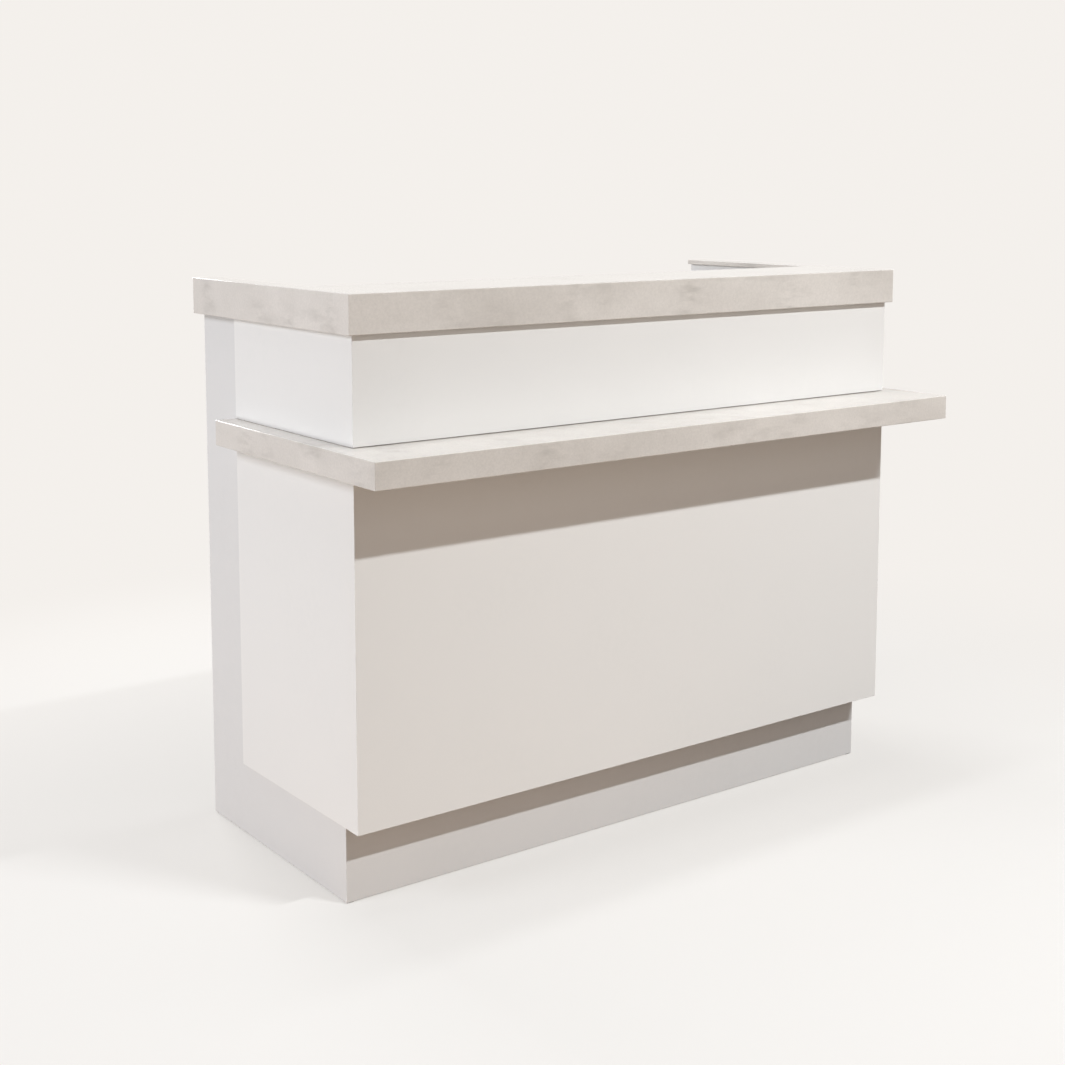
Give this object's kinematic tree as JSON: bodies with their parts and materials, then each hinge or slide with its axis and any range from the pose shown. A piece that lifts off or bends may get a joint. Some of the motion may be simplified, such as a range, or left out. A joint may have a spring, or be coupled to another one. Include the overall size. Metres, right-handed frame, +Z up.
{
  "type": "reception desk",
  "caption": "White gloss reception desk with a stone-look U-shaped counter, a wrap-round bag ledge, a recessed plinth, and a staff worktop with drawers and open shelves.",
  "frame": {"origin": "on the floor, in the middle of the desk's plan", "axes": "+X to the visitors' right along the counter, +Y from the visitors' side to the staff side, +Z up"},
  "size_m": [1.4, 0.735, 1.09],
  "materials": {
    "gloss_white": "white high gloss lacquer on board",
    "stone_look": "polished, off-white with soft grey-beige clouds",
    "white_melamine": "white fine-grained melamine on board",
    "raw_board": "bare particle board",
    "grey_wrap": "grey foil on folded board",
    "zinc_steel": "bright zinc plate",
    "satin_steel": "satin",
    "black_plastic": "matt",
    "grey_plastic": "fine texture"
  },
  "bodies": {
    "desk": {"counter_top_sheet": "stone_look", "counter_front_apron": "stone_look", "counter_left_apron": "stone_look", "counter_right_apron": "stone_look", "counter_subtop": "white_melamine", "ledge_top_sheet": "stone_look", "ledge_front_apron": "stone_look", "ledge_left_apron": "stone_look", "ledge_right_apron": "stone_look", "ledge_core": "white_melamine", "upper_front_panel": "gloss_white", "upper_left_panel": "gloss_white", "upper_right_panel": "gloss_white", "lower_front_panel": "gloss_white", "lower_left_panel": "gloss_white", "lower_right_panel": "gloss_white", "left_gable": "gloss_white", "right_gable": "gloss_white", "modesty_panel": "white_melamine", "plinth_board": "gloss_white", "upper_rail": "raw_board", "ledge_bearer_rail": "raw_board", "closing_rail": "gloss_white", "worktop": "white_melamine", "grommet_liner": "grey_plastic", "drawer_partition": "white_melamine", "shelf_partition": "white_melamine", "drawer_bay_floor": "white_melamine", "shelf_bay_floor": "white_melamine", "fixed_shelf": "white_melamine", "left_gable_foot": "black_plastic", "right_gable_foot": "black_plastic", "drawer_partition_foot": "black_plastic", "shelf_partition_foot": "black_plastic", "top_drawer_left_rail": "zinc_steel", "top_drawer_right_rail": "zinc_steel", "middle_drawer_left_rail": "zinc_steel", "middle_drawer_right_rail": "zinc_steel", "file_drawer_left_rail": "zinc_steel", "file_drawer_right_rail": "zinc_steel"},
    "top_drawer": {"top_drawer_front": "white_melamine", "top_drawer_handle": "satin_steel", "top_drawer_wrap": "grey_wrap", "top_drawer_base": "white_melamine", "top_drawer_left_runner": "zinc_steel", "top_drawer_right_runner": "zinc_steel"},
    "middle_drawer": {"middle_drawer_front": "white_melamine", "middle_drawer_handle": "satin_steel", "middle_drawer_wrap": "grey_wrap", "middle_drawer_base": "white_melamine", "middle_drawer_left_runner": "zinc_steel", "middle_drawer_right_runner": "zinc_steel"},
    "file_drawer": {"file_drawer_front": "white_melamine", "file_drawer_handle": "satin_steel", "file_drawer_wrap": "grey_wrap", "file_drawer_base": "white_melamine", "file_drawer_left_runner": "zinc_steel", "file_drawer_right_runner": "zinc_steel"},
    "grommet_cap": {"grommet_cap": "grey_plastic"}
  },
  "joints": [
    {"name": "top_drawer_slide", "type": "slide", "parent": "desk", "child": "top_drawer", "axis": [0, 1, 0], "range_m": [0, 0.3]},
    {"name": "middle_drawer_slide", "type": "slide", "parent": "desk", "child": "middle_drawer", "axis": [0, 1, 0], "range_m": [0, 0.3]},
    {"name": "file_drawer_slide", "type": "slide", "parent": "desk", "child": "file_drawer", "axis": [0, 1, 0], "range_m": [0, 0.3]},
    {"name": "grommet_cap_turn", "type": "hinge", "parent": "desk", "child": "grommet_cap", "pos_m": [-0.04, -0.0915, 0.743], "axis": [0, 0, 1], "continuous": true}
  ]
}
